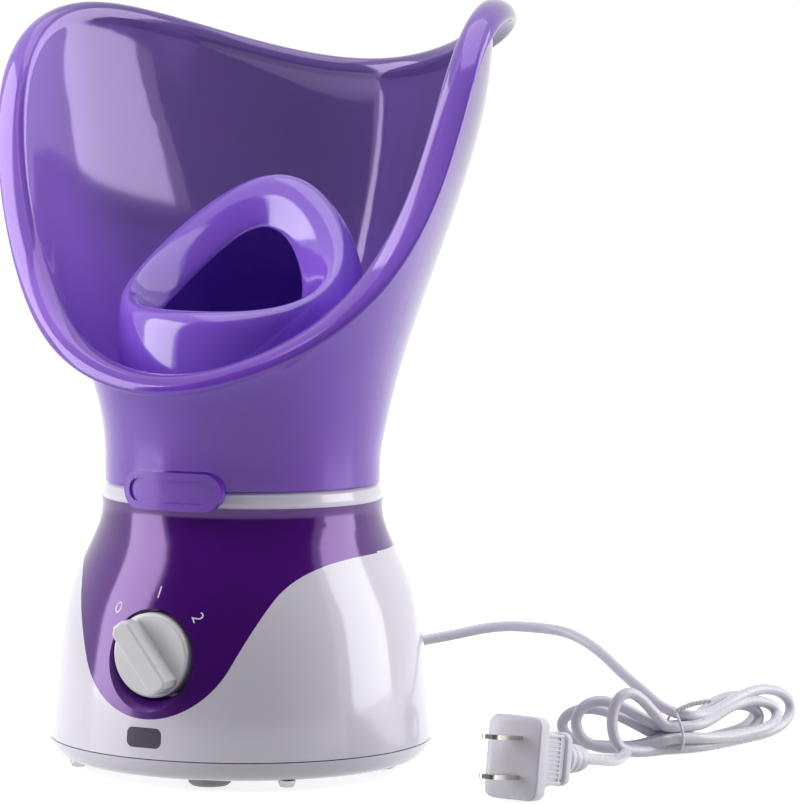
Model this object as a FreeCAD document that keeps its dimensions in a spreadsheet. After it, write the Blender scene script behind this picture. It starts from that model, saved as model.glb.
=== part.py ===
import FreeCAD, Part
import math
import os
import re
import Sketcher

# Facial steamer: a round base with a heated water tank, a lift-off face mask and, inside it, a
# lift-off nose mask.  Millimetres.  The origin is on the base's axis at the level of the feet,
# +Z is up, the knob faces -Y and +X is on the right of someone who looks at the knob.

V = FreeCAD.Vector
doc = FreeCAD.newDocument("facial_steamer")
sheet = doc.addObject("Spreadsheet::Sheet", "dims")

SIZES = (
    # the base's turned outline, from the seam of its base plate up to the collar
    ("base_radius", 65.1), ("collar_radius", 47.4), ("deck_height", 91.2), ("shell_wall", 2.4),
    ("base_seam", 10.2),
    ("seam_gap", 0.35),
    ("belly_draw", 1.2), ("belly_radius", "=base_radius - belly_draw"), ("belly_height", 27),
    ("middle_draw", 3.4), ("middle_radius", "=base_radius - middle_draw"), ("middle_height", 44.5),
    ("shoulder_draw", 7.7), ("shoulder_radius", "=base_radius - shoulder_draw"), ("shoulder_height", 62),
    ("waist_draw", 14.3), ("waist_radius", "=base_radius - waist_draw"), ("waist_height", 77),
    ("neck_ledge", 0.4), ("neck_radius", "=collar_radius + neck_ledge"), ("neck_height", 86),
    ("flat_inset", 8.1), ("flat_radius", "=base_radius - flat_inset"),
    # feet
    ("foot_height", 3), ("foot_radius", 7), ("foot_inset", 10), ("foot_ring", "=flat_radius - foot_inset"),
    ("foot_sink", 1.2),
    # the seam between the lower housing and the upper cover: a drop-shaped apron in front
    ("seam_height", 75.3), ("apron_low", 23), ("apron_radius", 30), ("apron_shoulder", 22),
    ("apron_reach", 57),
    # the collar that the masks stand on
    ("collar_height", 5.3), ("collar_slope", 1.8), ("spigot_step", 7.2),
    ("spigot_radius", "=collar_radius - spigot_step"),
    ("spigot_wall", 2.2), ("spigot_rise", 4.5), ("seat_gap", 0.3),
    # tank, gasket and heater
    ("flange_inset", 4), ("flange_radius", "=collar_radius - flange_inset"), ("flange_width", 7.8),
    ("tank_radius", "=flange_radius - flange_width"), ("tank_depth", 25), ("tank_wall", 1.2),
    ("gasket_thick", 1.2), ("tank_gap", 2.8), ("deck_hole", "=tank_radius + tank_gap"),
    ("heater_inset", 10.6), ("heater_radius", "=tank_radius - heater_inset"), ("heater_thick", 6),
    ("clamp_thick", 1.5), ("clamp_reach", 5), ("clamp_radius", "=heater_radius + clamp_reach"),
    ("post_inset", 1), ("post_ring", "=flange_radius - post_inset"), ("post_radius", 3.2),
    # knob, dial recess and switch
    ("knob_height", 43.5), ("knob_radius", 14), ("knob_sink", 0.7),
    ("knob_face", "=middle_radius - knob_sink"),
    ("bar_width", 7.8), ("bar_rise", 7.6), ("recess_gap", 1.2), ("recess_depth", 8.5),
    ("recess_floor", "=knob_face - recess_depth"), ("floor_thick", 2),
    ("shaft_radius", 3), ("bush_radius", 3.5), ("switch_width", 23), ("switch_depth", 13),
    # indicator window
    ("window_height", 17), ("window_width", 13), ("window_tall", 6.6), ("window_gap", 0.12),
    ("window_round", 2.2),
    # face mask
    ("mask_step", 0.6), ("mask_radius", "=collar_radius - mask_step"), ("mask_wall", 2.2),
    ("mask_neck", 10), ("mask_flare", 132), ("lip_width", 7.2),
    ("tab_width", 37), ("tab_height", 12.6), ("tab_thick", 2.4),
    # nose mask
    ("nose_step", 2.6), ("nose_radius", "=spigot_radius + nose_step"), ("nose_wall", 2),
    ("nose_top", 102.5),
    # power cord, its strain relief and its plug
    ("cord_radius", 1.95), ("gland_height", 27), ("gland_length", 20), ("gland_radius", 4.6),
    ("plug_tall", 27.2), ("plug_wide", 19.6), ("plug_face", 6), ("blade_gap", 12.7), ("blade_wide", 6.3),
    ("blade_thick", 1.5), ("blade_long", 17),
    # screws
    ("screw_radius", 1.5), ("head_radius", 2.9), ("head_thick", 2.2),
)
for row, (alias, size) in enumerate(SIZES, 1):
    sheet.set("A%d" % row, alias)
    sheet.set("B%d" % row, str(size))
    sheet.setAlias("B%d" % row, alias)
doc.recompute()

pieces = []


def with_sheet(formula):
    """The formula with each size named as a cell of the sheet."""
    return re.sub(r"\b([a-z]\w*)\b(?!\()", r"dims.\1", formula)


def size(formula):
    return float(sheet.evalExpression(with_sheet(str(formula))))


def bind(thing, **formulas):
    for prop, formula in formulas.items():
        thing.setExpression(prop, with_sheet(str(formula)))


def place(thing, x="0", y="0", z="0", axis=None, angle=0):
    if axis:
        thing.Placement = FreeCAD.Placement(V(), FreeCAD.Rotation(V(*axis), angle))
    for word, formula in zip("xyz", (x, y, z)):
        thing.setExpression("Placement.Base." + word, with_sheet(formula))
    return thing


def piece(thing, label):
    """Marks an object as a sub-part with the label that names its file."""
    thing.Label = label
    pieces.append(thing)
    return thing


def cylinder(radius, height, name="round"):
    thing = doc.addObject("Part::Cylinder", name)
    bind(thing, Radius=radius, Height=height)
    return thing


def cone(low, high, height, name="taper"):
    thing = doc.addObject("Part::Cone", name)
    bind(thing, Radius1=low, Radius2=high, Height=height)
    return thing


def block(length, width, height, name="block"):
    thing = doc.addObject("Part::Box", name)
    bind(thing, Length=length, Width=width, Height=height)
    return thing


def centred_block(length, width, height, x="0", y="0", z="0"):
    thing = block(length, width, height)
    return place(thing, "%s - (%s)/2" % (x, length), "%s - (%s)/2" % (y, width),
                 "%s - (%s)/2" % (z, height))


def cut(base, *tools):
    for tool in tools:
        thing = doc.addObject("Part::Cut", "cut")
        thing.Base, thing.Tool = base, tool
        base = thing
    return base


def fuse(*parts):
    thing = doc.addObject("Part::MultiFuse", "fuse")
    thing.Shapes = list(parts)
    return thing


def common(one, other):
    thing = doc.addObject("Part::MultiCommon", "common")
    thing.Shapes = [one, other]
    return thing


def group(parts):
    thing = doc.addObject("Part::Compound", "group")
    thing.Links = parts
    return thing


def shaped(shape, name="shape"):
    """A shape that neither a sketch nor a primitive gives, such as a free-form wall."""
    thing = doc.addObject("Part::Feature", name)
    thing.Shape = shape
    return thing


def plane_of(body, role):
    return next(f for f in body.Origin.OriginFeatures if f.Role == role)


def outline(sketch, points):
    """Closes a polygon in a sketch and ties each corner to the sheet."""
    spots = [(size(u), size(v)) for u, v in points]
    for i, (u, v) in enumerate(spots):
        end = spots[(i + 1) % len(spots)]
        sketch.addGeometry(Part.LineSegment(V(u, v, 0), V(end[0], end[1], 0)), False)
    for i in range(len(spots)):
        sketch.addConstraint(Sketcher.Constraint("Coincident", i, 2, (i + 1) % len(spots), 1))
    for i, (u, v) in enumerate(points):
        for kind, formula, now in (("DistanceX", u, spots[i][0]), ("DistanceY", v, spots[i][1])):
            number = sketch.addConstraint(Sketcher.Constraint(kind, -1, 1, i, 1, now))
            sketch.setExpression("Constraints[%d]" % number, with_sheet(str(formula)))


def turned(points, name="turned"):
    """A body turned about its own Z axis from a polygon of radius and height."""
    body = doc.addObject("PartDesign::Body", name)
    sketch = body.newObject("Sketcher::SketchObject", name + "_profile")
    sketch.AttachmentSupport = [(plane_of(body, "XZ_Plane"), "")]
    sketch.MapMode = "FlatFace"
    outline(sketch, points)
    doc.recompute()
    turn = body.newObject("PartDesign::Revolution", name + "_turn")
    turn.Profile = sketch
    turn.ReferenceAxis = (sketch, ["V_Axis"])
    turn.Angle = 360
    doc.recompute()
    return body


def padded(points, height, name="padded"):
    """A body padded along its own Z axis from a polygon."""
    body = doc.addObject("PartDesign::Body", name)
    sketch = body.newObject("Sketcher::SketchObject", name + "_outline")
    sketch.AttachmentSupport = [(plane_of(body, "XY_Plane"), "")]
    sketch.MapMode = "FlatFace"
    outline(sketch, points)
    doc.recompute()
    pad = body.newObject("PartDesign::Pad", name + "_pad")
    pad.Profile = sketch
    bind(pad, Length=height)
    doc.recompute()
    return body


def rounded(body, radius, chosen):
    """Rounds the edges of a body that the test picks out."""
    tip = body.Tip
    names = ["Edge%d" % (i + 1) for i, edge in enumerate(tip.Shape.Edges) if chosen(edge)]
    fillet = body.newObject("PartDesign::Fillet", "rounding")
    fillet.Base = (tip, names)
    bind(fillet, Radius=radius)
    doc.recompute()
    return body


def around(count, start=0):
    return [start + 360.0 * i / count for i in range(count)]


def ring_spot(ring, angle):
    """The x and y formulas of a spot on a ring, counted from the front towards +X."""
    return "%s*sin(%g)" % (ring, angle), "-%s*cos(%g)" % (ring, angle)


# ---------------------------------------------------------------- outer shells of the base

HULL = ("base", "belly", "middle", "shoulder", "waist", "neck")


def hull(inset, top):
    """The base's turned outline, drawn in by an inset and closed at a height."""
    spots = [V(size(w + "_radius") - inset, 0, size("base_seam" if w == "base" else w + "_height"))
             for w in HULL]
    spots.append(V(size("neck_radius") - inset, 0, size("deck_height")))
    curve = Part.BSplineCurve()
    curve.interpolate(spots)
    low, high = spots[0], spots[-1]
    wire = Part.Wire([curve.toShape(), Part.makeLine(high, V(0, 0, high.z)),
                      Part.makeLine(V(0, 0, high.z), V(0, 0, low.z)), Part.makeLine(V(0, 0, low.z), low)])
    solid = Part.Face(wire).revolve(V(0, 0, 0), V(0, 0, 1), 360)
    if top < high.z:
        reach = 2 * low.x
        solid = solid.cut(Part.makeBox(2 * reach, 2 * reach, reach, V(-reach, -reach, top)))
    return solid


def above_seam():
    """Everything above the seam: level at the sides and back, with a rounded apron in front."""
    level, low, bowl, shoulder = (size(w) for w in ("seam_height", "apron_low", "apron_radius",
                                                    "apron_shoulder"))
    bowl_centre, shoulder_centre = V(0, 0, low + bowl), V(size("apron_reach"), 0, level - shoulder)
    across = shoulder_centre - bowl_centre
    # the slope of the run between the arcs
    slope = math.atan2(across.z, across.x) + math.asin((bowl + shoulder) / across.Length)
    left_of_run = V(-math.sin(slope), 0, math.cos(slope))

    def on_bowl(direction):
        return bowl_centre + direction * bowl

    def on_shoulder(direction):
        return shoulder_centre + direction * shoulder

    halfway = (-left_of_run + V(0, 0, -1)).normalize()
    bowl_arc = Part.Arc(on_bowl(V(0, 0, -1)), on_bowl(halfway), on_bowl(-left_of_run)).toShape()
    run = Part.makeLine(on_bowl(-left_of_run), on_shoulder(left_of_run))
    halfway = (left_of_run + V(0, 0, 1)).normalize()
    shoulder_arc = Part.Arc(on_shoulder(left_of_run), on_shoulder(halfway),
                            on_shoulder(V(0, 0, 1))).toShape()
    right = [bowl_arc, run, shoulder_arc]
    left = [edge.mirror(V(0, 0, 0), V(1, 0, 0)) for edge in right]
    reach, end = 1.5 * size("base_radius"), on_shoulder(V(0, 0, 1))
    corners = [end, V(reach, 0, level), V(reach, 0, 2 * level), V(-reach, 0, 2 * level),
               V(-reach, 0, level),
               V(-end.x, 0, level)]
    lines = [Part.makeLine(a, b) for a, b in zip(corners, corners[1:])]
    face = Part.Face(Part.Wire(Part.__sortEdges__(right + left + lines)))
    front = face.extrude(V(0, -reach, 0))
    back = Part.makeBox(2 * reach, reach, level, V(-reach, 0, level))
    return front.fuse(back).removeSplitter()


seam_tool = above_seam()
deck_under = size("deck_height - shell_wall")
outer, inner = hull(0, 1e3), hull(size("shell_wall"), deck_under)
open_inner = hull(size("shell_wall"), 1e3)

# upper cover: shell, deck with the tank's hole, dial recess, and three posts for the heater clamp
cover_shell = shaped(outer.cut(inner).common(seam_tool), "cover_shell")
recess_cup = place(cylinder("knob_radius + recess_gap + shell_wall", "base_radius"), "0",
                   "-recess_floor + floor_thick",
                   "knob_height", (1, 0, 0), 90)
cup = common(recess_cup, shaped(outer, "outer_hull"))
post_long = "(tank_depth + heater_thick - shell_wall - gasket_thick)"
posts = [place(cylinder("post_radius", post_long), *ring_spot("post_ring", a),
               z="deck_height - shell_wall - " + post_long)
         for a in around(3, 60)]
recess = place(cylinder("knob_radius + recess_gap", "base_radius"), "0", "-recess_floor", "knob_height",
               (1, 0, 0), 90)
bevel = place(cone("knob_radius + recess_gap", "knob_radius + recess_gap + 5", "9"), "0",
              "-knob_face + 2.4",
              "knob_height", (1, 0, 0), 90)
bush_hole = place(cylinder("bush_radius + 0.2", "floor_thick*3"), "0", "-recess_floor + 2*floor_thick",
                  "knob_height",
                  (1, 0, 0), 90)
deck_hole = place(cylinder("deck_hole", "shell_wall*3"), z="deck_height - shell_wall*2")
post_holes = [place(cylinder("screw_radius", "tank_depth/2"), *ring_spot("post_ring", a),
                    z="deck_height - shell_wall - %s - 1" % post_long) for a in around(3, 60)]
piece(cut(fuse(cover_shell, cup, *posts), recess, bevel, bush_hole, deck_hole, fuse(*post_holes)),
      "upper_cover")

def rounded_block(length, height, depth, radius, y, z):
    """A block along Y with rounded long edges, from y towards -Y, centred on the plane of symmetry."""
    u, v = "(%s)/2" % length, "(%s)/2" % height
    body = padded([("-" + u, "-" + v), (u, "-" + v), (u, v), ("-" + u, v)], depth, "rounded_block")
    rounded(body, radius, lambda e: e.BoundBox.ZLength > size(depth) - 0.01)
    return place(body, "0", y, z, (1, 0, 0), 90)


# lower housing: shell, window, cord outlet, and four screw bosses
housing_shell = shaped(outer.cut(open_inner).cut(seam_tool), "housing_shell")
bosses = []
for angle in around(4, 45):
    x, y = ring_spot("(base_radius - shell_wall - 6)", angle)
    bosses.append(place(cylinder("4.2", "14"), x, y, "base_seam + 1.4"))
    web = block("8", "3", "12")
    place(web, x, y, "base_seam + 2.4", (0, 0, 1), angle - 90)
    bosses.append(web)
inside = shaped(hull(size("shell_wall/2"), 1e3), "inside_hull")
boss_group = common(fuse(*bosses), inside)
window_hole = rounded_block("window_width", "window_tall", "20", "window_round", "-base_radius + 10",
                            "window_height")
cord_outlet = place(cylinder("gland_radius - 1", "20"), "0", "base_radius + 8", "gland_height", (1, 0, 0),
                    90)
screw_bores = [place(cylinder("screw_radius", "10"), *ring_spot("(base_radius - shell_wall - 6)", a),
                     z="base_seam + 1")
               for a in around(4, 45)]
piece(cut(fuse(housing_shell, boss_group), window_hole, cord_outlet, fuse(*screw_bores)), "base_housing")


def base_pan():
    """The base plate: a shallow pan whose rounded edge meets the housing at the seam."""
    rim, seam, flat, foot, wall = (size(w) for w in ("base_radius", "base_seam", "flat_radius",
                                                     "foot_height", "shell_wall"))

    def bowl(inset, top):
        low, high = V(flat, 0, foot + inset), V(rim - inset, 0, top)
        mid = V(low.x + (high.x - low.x) * 0.72, 0, low.z + (seam - foot - inset) * 0.34)
        arc = Part.Arc(low, mid, high).toShape()
        wire = Part.Wire([Part.makeLine(V(0, 0, low.z), low), arc, Part.makeLine(high, V(0, 0, top)),
                          Part.makeLine(V(0, 0, top), V(0, 0, low.z))])
        return Part.Face(wire).revolve(V(0, 0, 0), V(0, 0, 1), 360)

    return bowl(0, seam - size("seam_gap")).cut(bowl(wall, seam))


pan = shaped(base_pan(), "pan")
sinks = [place(cylinder("foot_radius + 0.1", "foot_sink + 1"), *ring_spot("foot_ring", a),
               z="foot_height - 1")
         for a in around(4, 17)]
pan_posts = [place(cylinder("4.2", "base_seam - foot_height - 1"),
                   *ring_spot("(base_radius - shell_wall - 6)", a),
                   z="foot_height + 1.7") for a in around(4, 45)]
pan_bores = [place(cylinder("screw_radius + 0.2", "20"), *ring_spot("(base_radius - shell_wall - 6)", a),
                   z="0")
             for a in around(4, 45)]
saddle_top = "(gland_height - cord_radius - foot_height - 1)"
saddle = centred_block("18", "6", saddle_top, "0", "51", "foot_height + 1 + %s/2" % saddle_top)
saddle_bores = [place(cylinder("screw_radius", "10"), x, "51", "gland_height - 9") for x in ("-6", "6")]
piece(cut(fuse(pan, *pan_posts, saddle), fuse(*sinks), fuse(*pan_bores), fuse(*saddle_bores)), "base_plate")

feet = []
for angle in around(4, 17):
    foot = turned([("0", "0"), ("foot_radius - 1", "0"), ("foot_radius", "0.8"),
                   ("foot_radius", "foot_height + foot_sink"),
                   ("0", "foot_height + foot_sink")], "foot")
    feet.append(place(foot, *ring_spot("foot_ring", angle)))
piece(group(feet), "rubber_feet")


def screw(length, x, y, z, up=True):
    """A pan-head screw whose head lies below z, or above it if the screw points down."""
    thing = turned([("0", "0"), ("head_radius - 0.7", "0"), ("head_radius", "head_thick - 0.8"),
                    ("head_radius", "head_thick"),
                    ("screw_radius", "head_thick"), ("screw_radius", "head_thick + %s - 1" % length),
                    ("0", "head_thick + %s" % length)], "screw")
    if up:
        return place(thing, x, y, "%s - head_thick" % z)
    return place(thing, x, y, "%s + head_thick" % z, (1, 0, 0), 180)


piece(group([screw("13", *ring_spot("(base_radius - shell_wall - 6)", a), z="foot_height")
             for a in around(4, 45)]),
      "base_screws")

# ---------------------------------------------------------------- collar, tank and heater

piece(turned([("flange_radius + 0.4", "deck_height"), ("collar_radius", "deck_height"),
              ("collar_radius + 0.1", "deck_height + 1.6"),
              ("collar_radius - 0.5", "deck_height + collar_height - 1.2"),
              ("collar_radius - collar_slope", "deck_height + collar_height"),
              ("spigot_radius", "deck_height + collar_height"),
              ("spigot_radius - 0.4", "deck_height + collar_height + spigot_rise"),
              ("spigot_radius - spigot_wall", "deck_height + collar_height + spigot_rise"),
              ("spigot_radius - spigot_wall", "deck_height + gasket_thick + tank_wall"),
              ("flange_radius + 0.4", "deck_height + gasket_thick + tank_wall")], "collar"), "collar_ring")

piece(turned([("deck_hole", "deck_height"), ("flange_radius", "deck_height"),
              ("flange_radius", "deck_height + gasket_thick"),
              ("deck_hole", "deck_height + gasket_thick")], "gasket"), "tank_gasket")

tank_top = "deck_height + gasket_thick"
tank_floor = "(deck_height + gasket_thick - tank_depth)"
piece(turned([("flange_radius", tank_top), ("flange_radius", tank_top + " + tank_wall"),
              ("tank_radius + 0.6", tank_top + " + tank_wall"), ("tank_radius", tank_top + " + 0.2"),
              ("tank_radius - 2.5", tank_floor + " + 6"), ("tank_radius - 7", tank_floor + " + tank_wall"),
              ("0", tank_floor + " + tank_wall"), ("0", tank_floor), ("tank_radius - 6.4", tank_floor),
              ("tank_radius - 1.3", tank_floor + " + 5.6"), ("tank_radius + tank_wall", tank_top)],
              "tank"), "heating_tank")

heater_low = "(deck_height + gasket_thick - tank_depth - heater_thick)"
piece(turned([("8", heater_low), ("heater_radius - 0.6", heater_low),
              ("heater_radius", heater_low + " + 0.6"),
              ("heater_radius", heater_low + " + heater_thick"), ("8", heater_low + " + heater_thick")],
              "heater"),
      "heater_ring")

clamp_low = "(deck_height + gasket_thick - tank_depth - heater_thick - clamp_thick)"
ears = []
for angle in around(3, 60):
    ear = block("2*post_radius", "post_ring", "clamp_thick")
    turn = FreeCAD.Rotation(V(0, 0, 1), angle)
    ear.Placement = FreeCAD.Placement(V(), turn)
    place(ear, "-post_radius*cos(%g) + post_ring*sin(%g)" % (angle, angle),
          "-post_radius*sin(%g) - post_ring*cos(%g)" % (angle, angle), clamp_low, (0, 0, 1), angle)
    ears += [ear, place(cylinder("post_radius", "clamp_thick"), *ring_spot("post_ring", angle),
                        z=clamp_low)]
clamp_disc = place(cylinder("clamp_radius", "clamp_thick"), z=clamp_low)
clamp_holes = [place(cylinder("screw_radius + 0.2", "10"), *ring_spot("post_ring", a), z=clamp_low + " - 4")
               for a in around(3, 60)]
clamp_eye = place(cylinder("7", "10"), z=clamp_low + " - 4")
piece(cut(fuse(clamp_disc, *ears), fuse(*clamp_holes), clamp_eye), "heater_clamp")
piece(group([screw("tank_depth/2", *ring_spot("post_ring", a), z=clamp_low) for a in around(3, 60)]),
      "clamp_screws")

thermostat_top = "(deck_height + gasket_thick - tank_depth - heater_thick - clamp_thick)"
can = turned([("0", "0"), ("6.4", "0"), ("6.4", "5.2"), ("8", "5.2"), ("8", "9"), ("0", "9")],
             "thermostat_can")
place(can, "15", "12", thermostat_top + " - 9")
tags = [centred_block("0.8", "4.8", "7", x, "12", thermostat_top + " - 12") for x in ("11.5", "18.5")]
piece(fuse(can, *tags), "thermostat")

fuse_body = place(cylinder("2", "16"), "-22", "12", thermostat_top + " - 2", (0, 1, 0), 90)
fuse_leads = place(cylinder("0.5", "26"), "-27", "12", thermostat_top + " - 2", (0, 1, 0), 90)
piece(fuse(fuse_body, fuse_leads), "thermal_fuse")

# ---------------------------------------------------------------- knob and rotary switch

back = "-recess_floor - 0.4"
knob_disc = doc.addObject("PartDesign::Body", "knob_disc")
disc_sketch = knob_disc.newObject("Sketcher::SketchObject", "knob_circle")
disc_sketch.AttachmentSupport = [(plane_of(knob_disc, "XZ_Plane"), "")]
disc_sketch.MapMode = "FlatFace"
disc_sketch.addGeometry(Part.Circle(V(0, 0, 0), V(0, 0, 1), size("knob_radius")), False)
disc_sketch.addConstraint(Sketcher.Constraint("Coincident", 0, 3, -1, 1))
number = disc_sketch.addConstraint(Sketcher.Constraint("Radius", 0, size("knob_radius")))
disc_sketch.setExpression("Constraints[%d]" % number, "dims.knob_radius")
doc.recompute()
disc_pad = knob_disc.newObject("PartDesign::Pad", "knob_pad")
disc_pad.Profile = disc_sketch
bind(disc_pad, Length="knob_face - recess_floor - 0.4")
doc.recompute()
rounded(knob_disc, "1.2", lambda e: abs(e.BoundBox.YMin + size("knob_face - recess_floor - 0.4")) < 0.01
        or abs(e.BoundBox.YMax + size("knob_face - recess_floor - 0.4")) < 0.01)
place(knob_disc, "0", back, "knob_height")

REST_TURN = -38  # the bar points to the 0 mark at rest, up and to the left
half, reach = "bar_width/2", "(knob_radius - 0.25)"
bar = padded([("-" + half, "-" + reach + "*0.86"), ("-%s*0.55" % half, "-" + reach + "*0.97"),
              (half + "*0.55", "-" + reach + "*0.97"),
              (half, "-" + reach + "*0.86"), (half, reach + "*0.84"), (half + "*0.45", reach + "*0.98"),
              ("-%s*0.45" % half, reach + "*0.98"), ("-" + half, reach + "*0.84")], "bar_rise + 2", "bar")
rounded(bar, "1.1", lambda e: e.BoundBox.ZMin > size("bar_rise + 2") - 0.01)
rest_turn = FreeCAD.Rotation(V(0, 1, 0), REST_TURN)
bar.Placement = FreeCAD.Placement(V(), rest_turn * FreeCAD.Rotation(V(1, 0, 0), 90))
for word, formula in (("y", "-knob_face + 2"), ("z", "knob_height")):
    bar.setExpression("Placement.Base." + word, with_sheet(formula))
knob_bore = place(cylinder("shaft_radius + 0.02", "7"), "0", "-recess_floor + 1", "knob_height",
                  (1, 0, 0), 90)
nut_room = place(cylinder("bush_radius + 4", "3.6"), "0", "-recess_floor + 0.6", "knob_height", (1, 0, 0),
                 90)
piece(cut(fuse(knob_disc, bar), knob_bore, nut_room), "control_knob")

shaft = place(cylinder("shaft_radius", "14.5"), "0", "-recess_floor + 9", "knob_height", (1, 0, 0), 90)
shaft_flat = centred_block("8", "5.4", "4", "0", "-recess_floor - 2.7", "knob_height + shaft_radius + 1.2")
piece(cut(shaft, shaft_flat), "switch_shaft")

switch_front = "-recess_floor + floor_thick"
case = centred_block("switch_width", "switch_depth", "switch_width*0.9", "0",
                     switch_front + " + switch_depth/2", "knob_height")
bush = place(cylinder("bush_radius", "floor_thick + 3"), "0", switch_front + " + 1", "knob_height",
             (1, 0, 0), 90)
bush_bore = place(cylinder("shaft_radius + 0.05", "18"), "0", switch_front + " + 8", "knob_height",
                  (1, 0, 0), 90)
lugs = [centred_block("0.8", "7", "4.8", "%g" % x, switch_front + " + switch_depth + 3",
                      "knob_height - 4") for x in (-8, 0, 8)]
piece(cut(fuse(case, bush, *lugs), bush_bore), "rotary_switch")
nut = doc.addObject("Part::Prism", "nut_prism")
nut.Polygon = 6
bind(nut, Circumradius="bush_radius + 2.2", Height="1.8")
place(nut, "0", "-recess_floor - 0.05", "knob_height", (1, 0, 0), 90)
nut_hole = place(cylinder("bush_radius + 0.02", "6"), "0", "-recess_floor + 2", "knob_height", (1, 0, 0),
                 90)
piece(cut(nut, nut_hole), "switch_nut")

# ---------------------------------------------------------------- indicator window and lamp


lens_block = rounded_block("window_width - 2*window_gap", "window_tall - 2*window_gap", "30",
                           "window_round - window_gap", "-base_radius + 15", "window_height")
piece(common(lens_block, shaped(outer.cut(open_inner), "lens_shell")), "indicator_lens")

lamp_y = "(-base_radius + shell_wall + 3.4)"
lamp_bulb = place(cylinder("2", "8"), "-4", lamp_y, "window_height", (0, 1, 0), 90)
lamp_tip = doc.addObject("Part::Sphere", "lamp_tip")
bind(lamp_tip, Radius="2")
place(lamp_tip, "4", lamp_y, "window_height")
piece(fuse(lamp_bulb, lamp_tip), "neon_lamp")
holder = centred_block("18", "6", "9", "0", lamp_y + " + 4", "window_height")
cradle = place(cylinder("2.1", "14"), "-7", lamp_y, "window_height", (0, 1, 0), 90)
holder_slot = centred_block("12", "4", "4.2", "0", lamp_y, "window_height")
piece(cut(holder, cradle, holder_slot), "lamp_holder")

# ---------------------------------------------------------------- wiring inside the base


def cord_edges(points, report=None):
    """Straight runs joined by tangent arcs, each arc as large as its two runs allow."""
    spots = [V(*p) for p in points]
    edges, at = [], spots[0]
    for before, corner, after in zip(spots, spots[1:], spots[2:]):
        back, ahead = (before - corner), (after - corner)
        short = min(back.Length, ahead.Length)
        turn = math.pi - back.getAngle(ahead)
        tangent = 0.45 * short
        radius = tangent / math.tan(turn / 2)
        back.normalize()
        ahead.normalize()
        enter, leave = corner + back * tangent, corner + ahead * tangent
        middle = corner + (back + ahead).normalize() * (radius / math.cos(turn / 2) - radius)
        edges += [Part.LineSegment(at, enter).toShape(), Part.Arc(enter, middle, leave).toShape()]
        at = leave
        if report:
            print("%s: radius %.1f mm, turn %.0f degrees, run %.1f mm" % (report, radius,
                                                                          math.degrees(turn), short))
    edges.append(Part.LineSegment(at, spots[-1]).toShape())
    return edges


def tube(points, radius, report=None):
    """A round solid along the path of a cord or wire."""
    spine = Part.Wire(cord_edges(points, report))
    first = spine.Edges[0]
    start = first.valueAt(first.FirstParameter)
    ring = Part.Wire(Part.makeCircle(radius, start, first.tangentAt(first.FirstParameter)))
    solid = spine.makePipeShell([ring], True, False)
    expected = math.pi * radius ** 2 * spine.Length
    if abs(solid.Volume / expected - 1) > 0.01:
        raise RuntimeError("a tube's volume is %.1f and should be %.1f" % (solid.Volume, expected))
    if report:
        print("%s: length %.1f mm" % (report, spine.Length))
    return solid


block_x, block_y = -14, 22
terminal = centred_block("18", "10", "10", "%g" % block_x, "%g" % block_y, "foot_height + shell_wall + 5")
terminal_bores = [place(cylinder("1.6", "6"), "%g" % (block_x + dx), "%g" % block_y,
                        "foot_height + shell_wall + 7")
                  for dx in (-6, 0, 6)]
piece(cut(terminal, fuse(*terminal_bores)), "terminal_block")

floor_z = size("foot_height + shell_wall")
lug_z, lug_y = size("knob_height - 4"), size("switch_depth + floor_thick - recess_floor + 6.7")
tag_z = size("deck_height + gasket_thick - tank_depth - heater_thick - clamp_thick - 15.7")
fuse_z = tag_z + 13.1
cord_z = size("gland_height")
lamp_back = size("-base_radius + shell_wall + 3.4 + 7.2")
window_z = size("window_height")
WIRES = (
    [(-8, lug_y, lug_z), (-8, lug_y + 8, lug_z), (-13, -3, 30), (-17, 10, 16),
     (-18, block_y - 5.1, floor_z + 5)],
    [(8, lug_y, lug_z), (8, lug_y + 9, lug_z), (9, -2, 34), (11.5, 9, 36), (11.5, 12, tag_z)],
    [(18.5, 12, tag_z), (18, 12, tag_z - 8), (6, 13, tag_z - 8), (0, 13, tag_z), (-2.5, 12, fuse_z)],
    [(-25.5, 12, fuse_z), (-26, 12, 45), (-24, 15, 30), (-15, 21, 22), (-14, block_y, floor_z + 10.1)],
    [(-1.1, 45.8, cord_z), (-1.5, 39, cord_z - 2), (-7, 33, floor_z + 8), (-9, block_y + 5.1, floor_z + 5)],
    [(1.1, 45.8, cord_z), (1.5, 38, cord_z), (-13, 36, 21), (-18, 33, floor_z + 8),
     (-19, block_y + 5.1, floor_z + 5)],
    [(-6.5, lamp_back, window_z), (-6.5, lamp_back + 6, window_z + 2), (-2, -36, 28),
     (0, lug_y - 3.5, lug_z - 2.6)],
)
piece(shaped(Part.makeCompound([tube(route, 0.9) for route in WIRES]), "wire_runs"), "internal_wires")

# ---------------------------------------------------------------- cord outlet

wall_in, wall_out = "(belly_radius - shell_wall - 0.5)", "(belly_radius + 0.2)"
tip = "(belly_radius + gland_length)"
grooves = []
for i in range(4):
    base, high = "belly_radius + %g" % (4 + 3.8 * i), "gland_radius - %g" % (0.15 + 0.37 * i)
    grooves += [(high, base), (high + " - 0.9", base + " + 0.3"), (high + " - 0.9", base + " + 1.6"),
                (high + " - 0.3", base + " + 1.9")]
relief = turned([("cord_radius + 0.05", "%s - 3" % wall_in), ("gland_radius + 0.6", "%s - 3" % wall_in),
                 ("gland_radius + 0.6", wall_in), ("gland_radius - 1.05", wall_in),
                 ("gland_radius - 1.05", wall_out),
                 ("gland_radius", wall_out)] + grooves + [("cord_radius + 0.9", tip + " - 0.4"),
                                                          ("cord_radius + 0.6", tip),
                 ("cord_radius + 0.05", tip)], "relief")
piece(place(relief, z="gland_height", axis=(1, 0, 0), angle=-90), "cord_strain_relief")

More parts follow.
